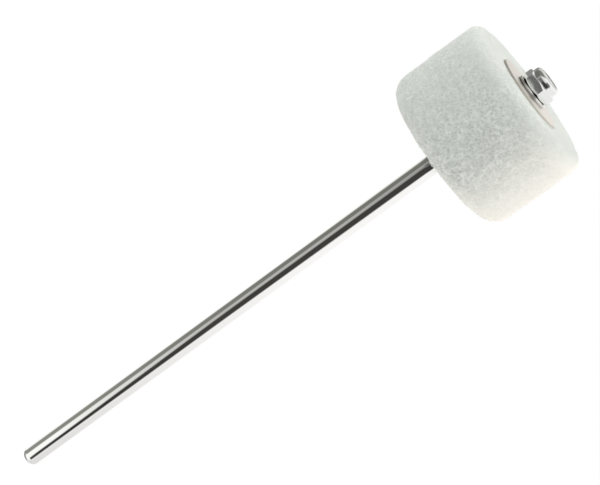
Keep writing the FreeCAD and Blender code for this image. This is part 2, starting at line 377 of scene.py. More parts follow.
def felt_grid():
    """Puck whose skin is pushed along its normals by wool lumps, clumps and creases between fibres.

    push = lumps + nap rough (clumps - creases), fading out towards the washers.
    Rough falls towards the pressed top. Lumps and clumps are fields of waves,
    and creases are gain (1 - exp(-|field|)).
    The nap stands up more on the left and in a patch near the front, and the same share sets how far the
    felt's painted shade and its own tone lie apart:
    nap = mean - lean cos a + patch (0.5 + 0.5 cos(a - turn))^sharpness.
    Returns the grid, the creases, which the felt's colour darkens as painted shade, how smoothly each
    point was pressed and how far its nap stands up.
    """
    top = span("felt_head")[1]
    profile = felt_profile()
    angle = even_angles(FELT_COLUMNS)
    radius = profile[:, :1]
    height = profile[:, 1:]
    along = np.roll(profile, -1, axis=0) - np.roll(profile, 1, axis=0)
    along /= np.linalg.norm(along, axis=1, keepdims=True)
    grid = swung(radius, height, angle)
    normal = swung(along[:, 1:], -along[:, :1], angle)
    free = step_between(radius, WASHER_SEAT + SEAT_FADE_START, WASHER_SEAT + SEAT_FADE_END)
    pressed = step_between(height, top - PRESSED_FOOT, top - PRESSED_HEAD) * np.ones_like(angle)
    lumps = waves(grid, *LUMP_WAVES)
    clumps = waves(grid, *CLUMP_WAVES)
    creases = CREASE_GAIN * (1 - np.exp(-np.abs(waves(grid, *CREASE_WAVES))))
    rough = 1 - PRESSED_CALM * pressed
    patch = (0.5 + 0.5 * np.cos(angle - PATCH_TURN)) ** PATCH_SHARPNESS
    nap_and_shade_depth = (NAP_AND_SHADE_MEAN - NAP_AND_SHADE_LEAN * np.cos(angle) + NAP_AND_SHADE_PATCH * patch) * np.ones_like(height)
    push = LUMP_HEIGHT * lumps + nap_and_shade_depth * rough * (CLUMP_HEIGHT * clumps - CREASE_DEPTH * creases)
    return grid + normal * (push * free)[..., None], creases * rough * free, pressed, nap_and_shade_depth


def shade_heavier_left(grid):
    """Share of painted shade round the rod, mean - lean cos a: least on its right, towards the key lamp,
    and 1 on its left.
    """
    return LEFT_SHADE_MEAN - LEFT_SHADE_LEAN * grid[..., 0] / np.hypot(grid[..., 0], grid[..., 1])


def washer_grid(washer):
    """Flat washer with broken edges swung about Z, and the darkening of its cut rim: the rim's own duller,
    darker edge with painted shade, heavier on the left.
    """
    low, high = span(washer)
    corners = [(WASHER_BORE, low), (WASHER_RADIUS, low), (WASHER_RADIUS, high), (WASHER_BORE, high)]
    radii = [WASHER_BORE_EDGE, WASHER_RIM_EDGE, WASHER_RIM_EDGE, WASHER_BORE_EDGE]
    profile = rounded(corners, radii, WASHER_ARC_POINTS)
    grid = swung(profile[:, :1], profile[:, 1:], even_angles(WASHER_COLUMNS))
    radius = np.hypot(grid[..., 0], grid[..., 1])
    # The rim's own darker edge, with painted shade heavier on the left.
    at_rim = step_between(radius, WASHER_RADIUS - RIM_GRIME_AND_SHADE_START, WASHER_RADIUS - RIM_GRIME_AND_SHADE_FULL)
    return grid, RIM_GRIME_AND_SHADE * at_rim * shade_heavier_left(grid)


def split_grid():
    """Rounded section carried round the rod between the lips of a leaning saw cut, and the painted shade
    at its foot, heavier on the left.

    At each point of the section the angle from +Y runs
    from asin(right lip / r) to a full turn + asin(left lip / r).
    """
    low, high = span("split_washer")
    corners = [(SPLIT_BORE, low), (SPLIT_RADIUS, low), (SPLIT_RADIUS, high), (SPLIT_BORE, high)]
    radii = [SPLIT_BORE_EDGE, SPLIT_LOWER_EDGE, SPLIT_UPPER_EDGE, SPLIT_BORE_EDGE]
    section = rounded(corners, radii, SPLIT_ARC_POINTS)
    radius = section[:, :1]
    height = section[:, 1:]
    left_lip = SPLIT_LEAN * (high - height) / (high - low)
    first = np.arcsin((left_lip + SPLIT_GAP) / radius)
    last = TAU + np.arcsin(left_lip / radius)
    turn = first + (last - first) * np.linspace(0, 1, RING_COLUMNS)
    grid = swung(radius, height, math.pi / 2 - turn)
    # Painted shade at the ring's foot, heavier on the left.
    above_foot = step_between(height, low + SPLIT_SHADE_FULL, low + SPLIT_SHADE_END)
    return grid, SPLIT_SHADE * (1 - above_foot) * shade_heavier_left(grid)


def nut_angles():
    """Angles round a nut, a + crowding sin 6(a - turn), closer together at the hexagon's corners."""
    even = even_angles(NUT_COLUMNS)
    return even + CORNER_CROWDING * np.sin(6 * (even - FACET_TURN))


def hexagon_radius(angle):
    """Hexagon with eased corners: apothem over the power mean of the cosines to its six flats."""
    flats = FACET_TURN + np.arange(6)[:, None] * (TAU / 6)
    nearness = np.clip(np.cos(angle - flats), 0, 1)
    return APOTHEM / (nearness ** CORNER_EASE).sum(axis=0) ** (1 / CORNER_EASE)


def nut_flank(angle, foot, top, upper_radius, upper_angle):
    """Hexagon cut by a cone at each end, with the edges between them eased.

    r = (hexagon^-q + lower cone^-q + upper cone^-q)^(-1/q),
    where q is the ease and a cone is its end's radius + rise / tan(angle).
    """
    swing = np.linspace(0, math.pi, FLANK_ROWS)[:, None]
    height = foot + (top - foot) * (0.5 - 0.5 * np.cos(swing))
    lower = NUT_FACE_RADIUS + (height - foot) / math.tan(NUT_CHAMFER)
    upper = upper_radius + (top - height) / math.tan(upper_angle)
    inverse = hexagon_radius(angle) ** -EDGE_EASE + lower ** -EDGE_EASE + upper ** -EDGE_EASE
    radius = inverse ** (-1 / EDGE_EASE)
    return radius, np.repeat(height, len(angle), axis=1)


def nut_bore(angle, high, low, mouth_heights):
    """Thread cut in a nut, running down, opened by a 45 degree cone at each mouth."""
    height = np.linspace(high, low, int((high - low) * BORE_ROWS_PER_MM))[:, None]
    radius = thread_radius(angle, height) + THREAD_CLEARANCE
    for mouth in mouth_heights:
        radius = np.maximum(radius, BORE_MOUTH - np.abs(height - mouth))
    return radius, np.repeat(height, len(angle), axis=1)


def plain_rows(profile, angle):
    """Rows that are true circles, from (radius, height) pairs."""
    profile = np.array(profile, float)
    shape = (len(profile), len(angle))
    return np.broadcast_to(profile[:, :1], shape), np.broadcast_to(profile[:, 1:], shape)


def joined_rows(angle, *parts):
    """One grid from several sets of (radius, height) rows."""
    radius = np.vstack([part[0] for part in parts])
    height = np.vstack([part[1] for part in parts])
    return swung(radius, height, angle)


def jam_nut_grid():
    """Thin nut: hexagon flank, then down through the threaded bore."""
    foot, top = span("jam_nut")
    angle = nut_angles()
    flank = nut_flank(angle, foot, top, NUT_FACE_RADIUS, NUT_CHAMFER)
    bore = nut_bore(angle, top, foot, [top, foot])
    return joined_rows(angle, flank, bore)


def lock_nut_grid():
    """Hexagon flank, collar with its rim rolled in over the nylon ring, then down the threaded bore.

    Returns the grid, and the painted shade on the chamfer at the nut's foot and on its rolled lip round
    the mouth.
    """
    foot, top = span("lock_nut")
    insert_foot = span("nylon_insert")[0]
    shoulder = top - COLLAR_HEIGHT
    lip_foot = top - LIP_THICKNESS
    angle = nut_angles()
    flank = nut_flank(angle, foot, shoulder, COLLAR_RADIUS, SHOULDER)
    corners_and_rounds = [
        (COLLAR_RADIUS, shoulder + COLLAR_START, FLANK_JOIN_ROUND),
        (COLLAR_RADIUS, top, COLLAR_ROUND),
        (LIP_RADIUS, top, LIP_EDGE_ROUND),
        (LIP_RADIUS, lip_foot, SEAT_CORNER_ROUND),
        (SEAT_RADIUS, lip_foot, SEAT_CORNER_ROUND),
        (SEAT_RADIUS, insert_foot, SEAT_CORNER_ROUND),
        (CREST_RADIUS + THREAD_CLEARANCE, insert_foot, BORE_JOIN),
    ]
    corners = [corner[:2] for corner in corners_and_rounds]
    radii = [corner[2] for corner in corners_and_rounds]
    collar = rounded(corners, radii, COLLAR_ARC_POINTS)
    bore = nut_bore(angle, insert_foot - BORE_JOIN, foot, [foot])
    grid = joined_rows(angle, flank, plain_rows(collar, angle), bore)
    # Painted shade under the nut's foot on its chamfer, and round its mouth on the rolled lip.
    chamfer = (hexagon_radius(angle) - NUT_FACE_RADIUS) * math.tan(NUT_CHAMFER)
    fade_start = CHAMFER_SHADE_FULL * chamfer
    fade_end = CHAMFER_SHADE_END * chamfer + CHAMFER_SHADE_FADE
    on_chamfer = 1 - step_between(flank[1] - foot, fade_start, fade_end)
    grime_and_shade = LIP_SHADE * step_between(grid[..., 2], top - LIP_SHADE_START, top - LIP_SHADE_FULL)
    grime_and_shade[:len(on_chamfer)] = on_chamfer
    return grid, grime_and_shade


def nylon_grid():
    """Ring in the collar: a rounded profile swung about Z, then a bore with the stud's thread form."""
    low, high = span("nylon_insert")
    angle = even_angles(RING_COLUMNS)
    outer = SEAT_RADIUS - NYLON_FIT
    edge = CREST_RADIUS + THREAD_CLEARANCE
    corners = [(edge, low), (outer, low), (outer, high), (edge, high)]
    radii = [NYLON_EDGE_ROUND, NYLON_EDGE_ROUND, NYLON_EDGE_ROUND, NYLON_MOUTH_ROUND]
    outside = plain_rows(rounded(corners, radii, NYLON_ARC_POINTS), angle)
    bore = nut_bore(angle, high - NYLON_THREAD_DROP, low + NYLON_THREAD_LIFT, [])
    return joined_rows(angle, outside, bore)


# Finishes

# Plate: how much each mark dulls it, its colour for grime and painted shade, and the strength of its
# polishing lines
SMUDGE_DULLING = 0.09
SCRATCH_DULLING = 0.06
GRIME_AND_SHADE_DULLING = 0.3
GRIME_AND_SHADE_COLOUR = (0.05, 0.042, 0.035, 1)
LINE_STRENGTH = 0.5

# Wool fibres and relief: turns in radians, thickness, sizes and relief in millimetres, and shares
STRAND_TURNS = [(0.3, 0.2, 0.5), (1.1, 0.7, 1.9), (2.0, 1.3, 0.4), (0.6, 2.2, 2.6)]
STRAND_THICKNESS = 0.55
STRAND_STRETCH = 7
STRAND_EDGE = 0.09
STRAND_RELIEF = 0.55
GRAIN_SIZE = 0.45
CLOUD_SIZE = 6
WOOL_RELIEF = 0.25
WOOL_RELIEF_STRENGTH = 0.8
PRESSED_RELIEF = 0.7

# Shade of the wool, from 0 where it is palest to 1 where it is darkest: painted shade in the creases and
# where pressed, a painted highlight on the strands, and the wool's own tone in its grain and cloud
PALE_WOOL = (0.93, 0.94, 0.9, 1)
DARK_WOOL = (0.68, 0.69, 0.65, 1)
DEEP_CREASE = 2.0
RIDGE_SHADE = -0.25
DEEP_CREASE_SHADE = 0.75
GRAIN_SHADE = 0.9
CLOUD_SHADE = 0.35
STRAND_SHADE = -0.5
PRESSED_SHADE = 0.3
SHADE_PIVOT = 0.62
PIVOT_SHADE = 0.54

# Nylon: size and depth of its mottle in millimetres, and its colours
MOTTLE_SIZE = 0.8
MOTTLE_DEPTH = 0.05
DULL_NYLON = (0.84, 0.83, 0.77, 1)
CLEAR_NYLON = (0.9, 0.9, 0.86, 1)


def node(tree, kind, values=None, **settings):
    """A new node with its settings, and values for its inputs by name or number."""
    made = tree.nodes.new(kind)
    for name, value in settings.items():
        setattr(made, name, value)
    for key, value in (values or {}).items():
        made.inputs[key].default_value = value
    return made


def wire(tree, source, output, target, entry):
    """Links an output of one node to an input of another."""
    tree.links.new(source.outputs[output], target.inputs[entry])


def colour_mix(tree, first, second):
    """A mix of two colours, still to be given its factor."""
    mix = node(tree, "ShaderNodeMix", data_type="RGBA")
    mix.inputs["A"].default_value = first
    mix.inputs["B"].default_value = second
    return mix


def scaled_sum(tree, source, output, scale, base, base_output):
    """A node whose value is source * scale + base."""
    total = node(tree, "ShaderNodeMath", {1: scale}, operation="MULTIPLY_ADD")
    wire(tree, source, output, total, 0)
    wire(tree, base, base_output, total, 2)
    return total


def new_group(name, inputs, outputs):
    """Empty shader group with named inputs and float outputs, and its two end nodes."""
    tree = bpy.data.node_groups.new(name, "ShaderNodeTree")
    for label, kind in inputs:
        tree.interface.new_socket(label, in_out="INPUT", socket_type=kind)
    for label in outputs:
        tree.interface.new_socket(label, in_out="OUTPUT", socket_type="NodeSocketFloat")
    return tree, tree.nodes.new("NodeGroupInput"), tree.nodes.new("NodeGroupOutput")


def smudges_group():
    """Cloudy handling marks on plate: a mask from the crests of a noise."""
    tree, entry, exit_node = new_group("handling smudges", [("Scale", "NodeSocketFloat")], ["Mask"])
    place = node(tree, "ShaderNodeTexCoord")
    cloud = node(tree, "ShaderNodeTexNoise", {"Detail": 4.0, "Roughness": 0.6, "Distortion": 0.8})
    ramp = node(tree, "ShaderNodeMapRange", {"From Min": 0.42, "From Max": 0.72})
    wire(tree, place, "Object", cloud, "Vector")
    wire(tree, entry, "Scale", cloud, "Scale")
    wire(tree, cloud, "Fac", ramp, "Value")
    wire(tree, ramp, "Result", exit_node, "Mask")
    return tree


def hairlines_group():
    """Fine polishing lines: noise on coordinates that the material has stretched along the lines."""
    inputs = [("Vector", "NodeSocketVector")]
    tree, entry, exit_node = new_group("polishing lines", inputs, ["Height", "Mask"])
    fine = node(tree, "ShaderNodeTexNoise", {"Scale": 1.0, "Detail": 5.0, "Roughness": 0.7})
    bold = node(tree, "ShaderNodeTexNoise", {"Scale": 0.31, "Detail": 2.0, "Roughness": 0.5})
    ramp = node(tree, "ShaderNodeMapRange", {"From Min": 0.55, "From Max": 0.8})
    wire(tree, entry, "Vector", fine, "Vector")
    wire(tree, entry, "Vector", bold, "Vector")
    wire(tree, fine, "Fac", exit_node, "Height")
    wire(tree, bold, "Fac", ramp, "Value")
    wire(tree, ramp, "Result", exit_node, "Mask")
    return tree


SMUDGES = smudges_group()
HAIRLINES = hairlines_group()


def new_material(name):
    """A material, its node tree and its main shader."""
    material = bpy.data.materials.new(name)
    material.use_nodes = True
    tree = material.node_tree
    return material, tree, tree.nodes["Principled BSDF"]


def straight_lines(tree, stretch):
    """Object coordinates scaled by so many cells a metre along each axis."""
    place = node(tree, "ShaderNodeTexCoord")
    mapping = node(tree, "ShaderNodeMapping", {"Scale": stretch})
    wire(tree, place, "Object", mapping, "Vector")
    return mapping


def turned_lines(tree, stretch):
    """Coordinates (distance from the axis, height, 0) scaled alike, for marks that run round the rod."""
    place = node(tree, "ShaderNodeTexCoord")
    split = node(tree, "ShaderNodeSeparateXYZ")
    flat = node(tree, "ShaderNodeCombineXYZ")
    length = node(tree, "ShaderNodeVectorMath", operation="LENGTH")
    pair = node(tree, "ShaderNodeCombineXYZ")
    mapping = node(tree, "ShaderNodeMapping", {"Scale": stretch})
    wire(tree, place, "Object", split, "Vector")
    wire(tree, split, "X", flat, "X")
    wire(tree, split, "Y", flat, "Y")
    wire(tree, flat, "Vector", length, "Vector")
    wire(tree, length, "Value", pair, "X")
    wire(tree, split, "Z", pair, "Y")
    wire(tree, pair, "Vector", mapping, "Vector")
    return mapping


def plate_finish(name, colour, roughness, lines, stretch, smudge_size, line_depth):
    """Plated metal: polishing lines as a faint bump, smudges and scratches that dull it, and grime and
    painted shade from a point attribute, which darken and dull it.

    Lengths are in millimetres, and the stretch is in cells of the lines' noise a metre.
    """
    material, tree, shader = new_material(name)
    marks = lines(tree, stretch)
    hair = node(tree, "ShaderNodeGroup", node_tree=HAIRLINES)
    smear = node(tree, "ShaderNodeGroup", {"Scale": 1 / (smudge_size * MM)}, node_tree=SMUDGES)
    # Grime and painted shade, read from a point attribute, darken the plate and dull it.
    grime_and_shade = node(tree, "ShaderNodeAttribute", attribute_name="grime_and_shade")
    dulled = node(tree, "ShaderNodeMath", {1: SMUDGE_DULLING, 2: roughness}, operation="MULTIPLY_ADD")
    wire(tree, marks, "Vector", hair, "Vector")
    wire(tree, smear, "Mask", dulled, 0)
    scratched = scaled_sum(tree, hair, "Mask", SCRATCH_DULLING, dulled, "Value")
    dulled_where_darkened = scaled_sum(tree, grime_and_shade, "Fac", GRIME_AND_SHADE_DULLING, scratched, "Value")
    wire(tree, dulled_where_darkened, "Value", shader, "Roughness")
    darkened = colour_mix(tree, (*colour, 1), GRIME_AND_SHADE_COLOUR)
    wire(tree, grime_and_shade, "Fac", darkened, "Factor")
    wire(tree, darkened, "Result", shader, "Base Color")
    bump = node(tree, "ShaderNodeBump", {"Strength": LINE_STRENGTH, "Distance": line_depth * MM})
    wire(tree, hair, "Height", bump, "Height")
    wire(tree, bump, "Normal", shader, "Normal")
    shader.inputs["Metallic"].default_value = 1.0
    return material


def strand_layer(tree, place, turn):
    """Ridges of a noise drawn out along one turned axis: thin wool fibres lying that way."""
    across = STRAND_THICKNESS * MM
    cell = (across * STRAND_STRETCH, across, across)
    mapping = node(
        tree, "ShaderNodeMapping", {"Rotation": turn, "Scale": cell}, vector_type="TEXTURE"
    )
    noise = node(tree, "ShaderNodeTexNoise", {"Scale": 1.0, "Detail": 1.5, "Distortion": 0.6})
    centred = node(tree, "ShaderNodeMath", {1: 0.5}, operation="SUBTRACT")
    folded = node(tree, "ShaderNodeMath", operation="ABSOLUTE")
    ridge = node(tree, "ShaderNodeMapRange", {"From Min": STRAND_EDGE, "From Max": 0.0})
    wire(tree, place, "Object", mapping, "Vector")
    wire(tree, mapping, "Vector", noise, "Vector")
    wire(tree, noise, "Fac", centred, 0)
    wire(tree, centred, "Value", folded, 0)
    wire(tree, folded, "Value", ridge, "Value")
    return ridge


def all_strands(tree, place):
    """The highest of the strand layers at each point, as a node and the name of its output."""
    strands = strand_layer(tree, place, STRAND_TURNS[0])
    output = "Result"
    for turn in STRAND_TURNS[1:]:
        layer = strand_layer(tree, place, turn)
        higher = node(tree, "ShaderNodeMath", operation="MAXIMUM")
        wire(tree, strands, output, higher, 0)
        wire(tree, layer, "Result", higher, 1)
        strands = higher
        output = "Value"
    return strands, output


def felt_finish():
    """Off-white pressed wool: strands lying many ways over grain.

    It has painted shade in the creases and where pressed, a painted highlight on its raised strands, and
    it is smoother where pressed.
    Its painted light and its own tone lie further apart where the nap stands up.
    """
    material, tree, shader = new_material("pressed wool felt")
    place = node(tree, "ShaderNodeTexCoord")
    crease = node(tree, "ShaderNodeAttribute", attribute_name="crease")
    pressed = node(tree, "ShaderNodeAttribute", attribute_name="pressed")
    nap_and_shade_depth = node(tree, "ShaderNodeAttribute", attribute_name="nap_and_shade_depth")
    strands, output = all_strands(tree, place)
    grain = node(
        tree, "ShaderNodeTexNoise", {"Scale": 1 / (GRAIN_SIZE * MM), "Detail": 4.0, "Roughness": 0.65}
    )
    cloud = node(
        tree, "ShaderNodeTexNoise", {"Scale": 1 / (CLOUD_SIZE * MM), "Detail": 3.0, "Roughness": 0.6}
    )
    wire(tree, place, "Object", grain, "Vector")
    wire(tree, place, "Object", cloud, "Vector")

    height = scaled_sum(tree, strands, output, STRAND_RELIEF, grain, "Fac")
    calm = node(tree, "ShaderNodeMapRange", {"To Min": 1.0, "To Max": PRESSED_RELIEF})
    calmed = node(tree, "ShaderNodeMath", operation="MULTIPLY")
    bump = node(
        tree, "ShaderNodeBump", {"Strength": WOOL_RELIEF_STRENGTH, "Distance": WOOL_RELIEF * MM}
    )
    wire(tree, pressed, "Fac", calm, "Value")
    wire(tree, height, "Value", calmed, 0)
    wire(tree, calm, "Result", calmed, 1)
    wire(tree, calmed, "Value", bump, "Height")
    wire(tree, bump, "Normal", shader, "Normal")

    # Painted shade: darker in the creases and paler on the ridges between them.
    crease_range = {"From Max": DEEP_CREASE, "To Min": RIDGE_SHADE, "To Max": DEEP_CREASE_SHADE}
    creased = node(tree, "ShaderNodeMapRange", crease_range)
    wire(tree, crease, "Fac", creased, "Value")
    grained = scaled_sum(tree, grain, "Fac", GRAIN_SHADE, creased, "Result")
    cloudy = scaled_sum(tree, cloud, "Fac", CLOUD_SHADE, grained, "Value")
    # Painted highlight: the raised strands are paler.
    lifted = scaled_sum(tree, strands, output, STRAND_SHADE, cloudy, "Value")
    # Painted shade where the top is pressed.
    flattened = scaled_sum(tree, pressed, "Fac", PRESSED_SHADE, lifted, "Value")
    # The nap share sets how far the painted shade, the painted highlight and the wool's own tone lie
    # apart.
    apart = node(tree, "ShaderNodeMath", {1: SHADE_PIVOT}, operation="SUBTRACT")
    contrast = node(tree, "ShaderNodeMath", {2: PIVOT_SHADE}, operation="MULTIPLY_ADD")
    shaded = colour_mix(tree, PALE_WOOL, DARK_WOOL)
    wire(tree, flattened, "Value", apart, 0)
    wire(tree, apart, "Value", contrast, 0)
    wire(tree, nap_and_shade_depth, "Fac", contrast, 1)
    wire(tree, contrast, "Value", shaded, "Factor")
    wire(tree, shaded, "Result", shader, "Base Color")
    shader.inputs["Roughness"].default_value = 0.95
    shader.inputs["Specular IOR Level"].default_value = 0.2
    shader.inputs["Sheen Weight"].default_value = 0.15
    shader.inputs["Sheen Roughness"].default_value = 0.6
    return material


def nylon_finish():
    """Milky nylon with a faint moulded mottle."""
    material, tree, shader = new_material("milky nylon")
    place = node(tree, "ShaderNodeTexCoord")
    mottle = node(tree, "ShaderNodeTexNoise", {"Scale": 1 / (MOTTLE_SIZE * MM), "Detail": 3.0})
    tint = colour_mix(tree, DULL_NYLON, CLEAR_NYLON)
    bump = node(tree, "ShaderNodeBump", {"Strength": 0.2, "Distance": MOTTLE_DEPTH * MM})
    wire(tree, place, "Object", mottle, "Vector")
    wire(tree, mottle, "Fac", tint, "Factor")
    wire(tree, mottle, "Fac", bump, "Height")
    wire(tree, tint, "Result", shader, "Base Color")
    wire(tree, bump, "Normal", shader, "Normal")
    shader.inputs["Roughness"].default_value = 0.42
    return material


ROD_PLATE = plate_finish(
    "polished rod plate",
    colour=(0.93, 0.93, 0.92),
    roughness=0.06,
    lines=straight_lines,
    stretch=(5200, 5200, 45),
    smudge_size=14,
    line_depth=0.0025,
)
NUT_PLATE = plate_finish(
    "bright nut plate",
    colour=(0.88, 0.89, 0.88),
    roughness=0.08,
    lines=turned_lines,
    stretch=(6000, 6000, 1),
    smudge_size=4,
    line_depth=0.003,
)
WASHER_PLATE = plate_finish(
    "warm washer plate",
    colour=(0.89, 0.85, 0.79),
    roughness=0.46,
    lines=turned_lines,
    stretch=(4200, 4200, 1),
    smudge_size=6,
    line_depth=0.005,
)
SPRING_PLATE = plate_finish(
    "spring steel plate",
    colour=(0.78, 0.78, 0.76),
    roughness=0.12,
    lines=turned_lines,
    stretch=(7000, 7000, 1),
    smudge_size=3,
    line_depth=0.002,
)
FELT = felt_finish()
NYLON = nylon_finish()


# Pieces on their bodies


def new_object(name, data):
    """An object at the origin, put into the scene."""
    made = bpy.data.objects.new(name, data)
    bpy.context.scene.collection.objects.link(made)
    return made


def add_piece(name, mesh, body, replaced, material):
    """Puts a mesh on its body in the place of a CAD node and material."""
    piece = new_object(name, mesh)
    mesh.materials.append(material)
    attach(piece, body)
    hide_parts(replaced)


def point_values(mesh, name, values):
    """Stores one number for each point of a mesh."""
    layer = mesh.attributes.new(name, "FLOAT", "POINT")
    layer.data.foreach_set("value", np.asarray(values, np.float32).ravel())


rod_mesh = skin("plated_rod", rod_grid(), rows_meet=False)
add_piece("plated_rod", rod_mesh, "rod", "beater_rod", ROD_PLATE)

jam_mesh = skin("thin_jam_nut", jam_nut_grid())
add_piece("thin_jam_nut", jam_mesh, "rod", "jam_nut", NUT_PLATE)

felt_points, felt_creases, felt_pressed, felt_nap_and_shade_depth = felt_grid()
felt_mesh = skin("felt_puck", felt_points)
point_values(felt_mesh, "crease", felt_creases)
point_values(felt_mesh, "pressed", felt_pressed)
point_values(felt_mesh, "nap_and_shade_depth", felt_nap_and_shade_depth)
add_piece("felt_puck", felt_mesh, "head", "felt_head", FELT)

# The washers' cut rims are darker on their own and carry painted shade.
for washer in ("upper_washer", "lower_washer"):
    plate_name = f"{washer}_plate"
    washer_points, washer_grime_and_shade = washer_grid(washer)
    washer_mesh = skin(plate_name, washer_points)
    point_values(washer_mesh, "grime_and_shade", washer_grime_and_shade)
    add_piece(plate_name, washer_mesh, "head", washer, WASHER_PLATE)

# Painted shade at the split ring's foot.
split_points, split_shade = split_grid()
split_mesh = skin("split_spring_ring", split_points, columns_meet=False)
point_values(split_mesh, "grime_and_shade", split_shade)
add_piece("split_spring_ring", split_mesh, "spring_ring", "split_washer", SPRING_PLATE)

# Painted shade under the lock nut's foot and round its mouth.
nut_points, nut_shade = lock_nut_grid()
nut_mesh = skin("collar_lock_nut", nut_points)
point_values(nut_mesh, "grime_and_shade", nut_shade)
add_piece("collar_lock_nut", nut_mesh, "nut", "lock_nut", NUT_PLATE)

nylon_mesh = skin("nylon_ring", nylon_grid())
add_piece("nylon_ring", nylon_mesh, "nut", "nylon_insert", NYLON)


# Studio in metres: floor, screen that only the plate mirrors, lamps and white surround

FLOOR_HEIGHT = -0.25
FLOOR_REACH = 9.0
FLOOR_COLOUR = (0.9, 0.9, 0.9, 1)
FLOOR_GLOW = 1.04
FLOOR_GLOW_SHARE = 0.9
SCREEN_DISTANCE = 0.3
SCREEN_FOOT = -0.24
SCREEN_TOP = 0.42
SCREEN_HOLE = 0.005
SCREEN_ROWS = 125
SCREEN_COLUMNS = 240
HEAD_CENTRE = (0, 0, 0.19)
AMBIENT = (0.714, 0.742, 0.732)

# Cards on the screen: colour, softness of edges, then place, left and right azimuth and brightness
GREY_BOARD = (
    (1.0, 1.0, 0.9),
    16,
    [(-0.24, -118, -62, 0.27), (-0.12, -118, -51, 0.27), (0.0, -124, -50, 0.21),
     (0.12, -130, -51, 0.18), (0.2, -130, -50, 0.15), (0.35, -140, -50, 0.2),
     (0.64, -150, -50, 0.22), (0.7, -150, -50, 1.0)],
)
GRADED_CARD = (
    (1.0, 1.0, 0.98),
    10,
    [(-0.3, -56, 10, 1.04), (-0.1, -56, 10, 1.04), (-0.05, -56, 0, 0.74), (0.0, -56, 0, 0.5),
     (0.07, -55, 0, 0.46), (0.12, -52, 0, 0.3), (0.18, -50, 0, 0.14), (0.24, -50, 0, 0.18),
     (0.28, -48, 4, 0.72), (0.44, -48, 4, 0.78), (0.62, -48, 4, 1.0)],
)
DARK_FLAG = (
    (1.0, 0.96, 0.88),
    9,
    [(-0.23, 3, 31, 1.0), (-0.16, 3, 32, 0.07), (-0.09, -4, 32, 0.03), (-0.05, -16, 32, 0.04),
     (0.0, -27, 32, 0.05), (0.06, -26, 38, 0.05), (0.12, -25, 44, 0.05), (0.18, -12, 46, 0.04),
     (0.24, -12, 46, 0.05), (0.28, 6, 50, 0.12), (0.44, 8, 54, 0.18), (0.62, 10, 60, 0.45)],
)
PALE_CARD = (
    (1.0, 0.99, 0.98),
    12,
    [(-0.54, 30, 150, 0.74), (-0.12, 42, 130, 0.78), (-0.05, 42, 130, 0.87), (0.05, 46, 130, 1.0),
     (0.13, 56, 130, 1.0), (0.18, 58, 130, 0.92), (0.3, 58, 130, 0.92), (0.4, 58, 130, 1.0)],
)
BACK_FLAG = (
    (1.0, 1.0, 0.94),
    12,
    [(0.05, -168, -134, 1.0), (0.13, -168, -130, 0.6), (0.165, -170, -124, 0.27),
     (0.3, -170, -124, 0.27), (0.38, -170, -124, 1.0)],
)
FLOOR_CARD = (
    (1.0, 1.0, 0.94),
    30,
    [(-0.54, -190, -95, 0.22), (-0.24, -190, -85, 0.22), (-0.19, -190, -85, 0.25),
     (-0.13, -190, -85, 1.0)],
)


def seen_white(tree):
    """1 for rays that come straight from the camera, a mirror or glass, and 0 for diffuse light."""
    path = node(tree, "ShaderNodeLightPath")
    either = node(tree, "ShaderNodeMath", operation="MAXIMUM")
    any_of = node(tree, "ShaderNodeMath", operation="MAXIMUM")
    wire(tree, path, "Is Camera Ray", either, 0)
    wire(tree, path, "Is Glossy Ray", either, 1)
    wire(tree, either, "Value", any_of, 0)
    wire(tree, path, "Is Transmission Ray", any_of, 1)
    return any_of


def white_floor():
    """Square pale floor that looks white, still takes a shadow, and is clear from below."""
    corners = FLOOR_REACH * np.array([(-1, -1), (1, -1), (1, 1), (-1, 1)])
    points = np.column_stack([corners, np.full(4, FLOOR_HEIGHT)])
    mesh = bpy.data.meshes.new("pale_floor")
    mesh.from_pydata(points.tolist(), [], [(0, 1, 2, 3)])
    floor = new_object("pale_floor", mesh)
    material, tree, shader = new_material("pale floor")
    tree.nodes.remove(shader)
    matte = node(tree, "ShaderNodeBsdfDiffuse", {"Color": FLOOR_COLOUR})
    glow = node(tree, "ShaderNodeEmission", {"Strength": FLOOR_GLOW})
    mix = node(tree, "ShaderNodeMixShader")
    share = node(tree, "ShaderNodeMath", {1: FLOOR_GLOW_SHARE}, operation="MULTIPLY")
    side = node(tree, "ShaderNodeNewGeometry")
    clear = node(tree, "ShaderNodeBsdfTransparent")
    one_sided = node(tree, "ShaderNodeMixShader")
    wire(tree, seen_white(tree), "Value", share, 0)
    wire(tree, share, "Value", mix, 0)
    wire(tree, matte, "BSDF", mix, 1)
    wire(tree, glow, "Emission", mix, 2)
    wire(tree, side, "Backfacing", one_sided, 0)
    wire(tree, mix, "Shader", one_sided, 1)
    wire(tree, clear, "BSDF", one_sided, 2)
    wire(tree, one_sided, "Shader", tree.nodes["Material Output"], "Surface")
    mesh.materials.append(material)


